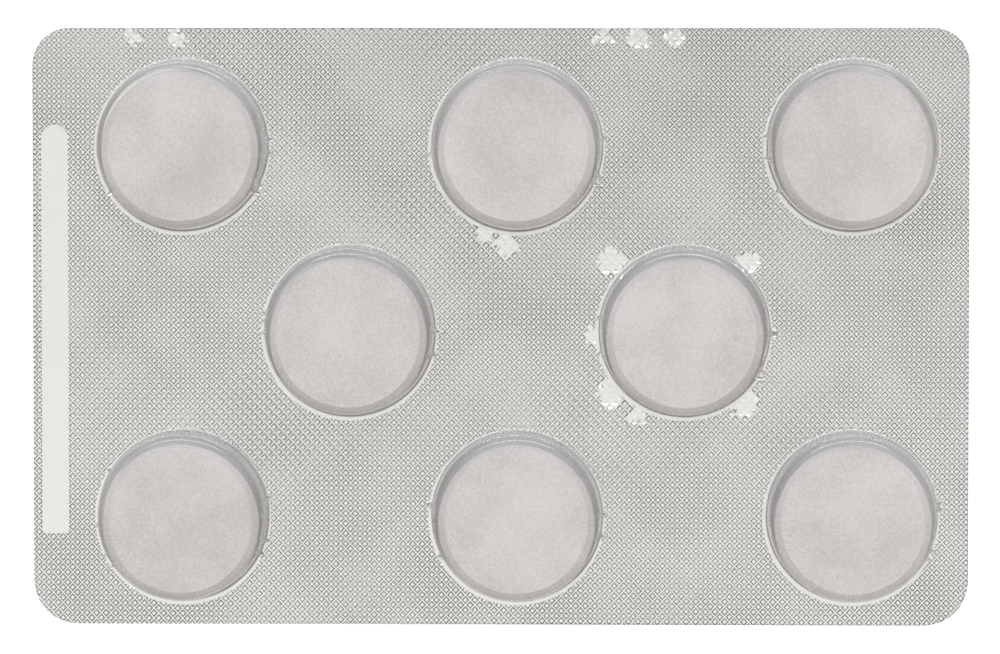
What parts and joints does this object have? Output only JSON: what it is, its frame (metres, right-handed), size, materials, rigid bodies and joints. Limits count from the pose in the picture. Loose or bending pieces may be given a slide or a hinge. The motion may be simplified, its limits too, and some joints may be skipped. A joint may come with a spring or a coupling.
{
  "type": "pill blister pack",
  "caption": "Push-through blister pack: clear formed film with staggered round flat-topped pockets, sealed by lidding foil, with a flat bevelled tablet in each pocket.",
  "frame": {"origin": "middle of the underside of the lidding foil, with the pack lying on its foil", "axes": "+X along the pack's length, with the batch strip at the -X end; +Y across it; +Z out of the pockets"},
  "size_m": [0.094, 0.06, 0.005],
  "materials": {
    "clear_film": "clear, glossy thermoformed film",
    "foil": "bright hard foil, knurled over the seal and plain under the pockets",
    "tablet": "pressed powder, smooth and matt"
  },
  "bodies": {
    "root": {"formed_web": "clear_film", "lidding_foil": "foil", "tablet_1": "tablet", "tablet_2": "tablet", "tablet_3": "tablet", "tablet_4": "tablet", "tablet_5": "tablet", "tablet_6": "tablet", "tablet_7": "tablet", "tablet_8": "tablet"}
  },
  "joints": []
}
